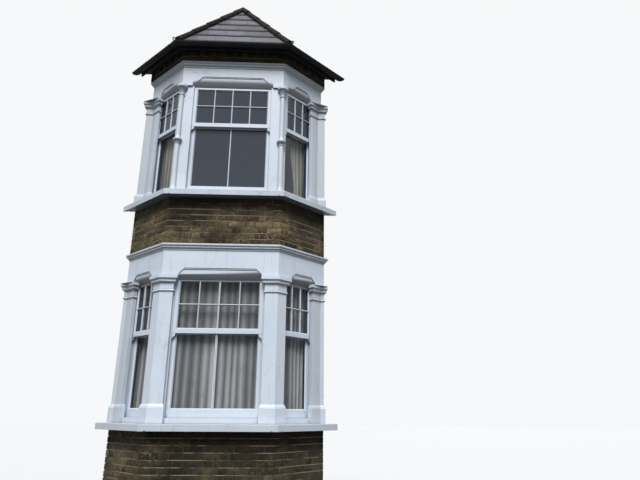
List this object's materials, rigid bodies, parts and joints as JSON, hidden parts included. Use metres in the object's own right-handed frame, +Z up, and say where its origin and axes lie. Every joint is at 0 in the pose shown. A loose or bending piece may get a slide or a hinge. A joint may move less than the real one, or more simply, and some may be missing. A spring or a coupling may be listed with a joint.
{
  "type": "two-storey canted bay window",
  "caption": "Two-storey canted bay window: brick plinth, painted stone piers and friezes, sash windows, slate half-hipped roof, open at the back to the rooms.",
  "frame": {"origin": "centre of the object's box in plan, at ground level", "axes": "+Z up, -Y out of the house through the front window, +X to the right seen from the street; the cut back face lies in a plane of constant Y"},
  "size_m": [3.2228, 0.7852, 7.7428],
  "materials": {
    "brick": "yellow-brown London stock brick, weathered",
    "painted_stone": "white masonry paint",
    "painted_wood": "white gloss paint",
    "boards": "sawn softwood",
    "black_boards": "black paint",
    "plaster": "flat plaster",
    "glass": "clear",
    "pale_cloth": "sheer curtain",
    "cream_cloth": "lined curtain",
    "track_metal": "satin",
    "iron": "black paint",
    "slate": "natural blue-grey slate",
    "clay": "brown-red clay, weathered"
  },
  "bodies": {
    "root": {"plinth_wall": "brick", "ground_floor": "boards", "ground_sill": "painted_stone", "ground_left_front_pier": "painted_stone", "ground_right_front_pier": "painted_stone", "ground_left_wall_pier": "painted_stone", "ground_right_wall_pier": "painted_stone", "ground_entablature": "painted_stone", "ground_cornice": "painted_stone", "ground_front_frame": "painted_wood", "ground_side_frames": "painted_wood", "ground_top_sashes": "painted_wood", "ground_bottom_sashes": "painted_wood", "ground_glass": "glass", "ground_curtains": "pale_cloth", "ground_ceiling": "plaster", "spandrel_wall": "brick", "first_floor": "boards", "upper_sill": "painted_stone", "upper_left_wall_pier": "painted_stone", "upper_right_wall_pier": "painted_stone", "left_corner_post": "painted_wood", "right_corner_post": "painted_wood", "left_colonnette": "painted_wood", "right_colonnette": "painted_wood", "upper_entablature": "painted_stone", "upper_cornice": "painted_stone", "upper_front_frame": "painted_wood", "upper_side_frames": "painted_wood", "upper_top_sashes": "painted_wood", "upper_bottom_sashes": "painted_wood", "upper_glass": "glass", "upper_curtains": "cream_cloth", "curtain_tracks": "track_metal", "upper_ceiling": "plaster", "eaves_wall": "brick", "eaves_boards": "black_boards", "gutter": "iron", "rafters": "boards", "roof_boards": "boards", "front_slates": "slate", "left_slates": "slate", "right_slates": "slate", "hip_tiles": "clay", "hip_irons": "iron"}
  },
  "joints": []
}
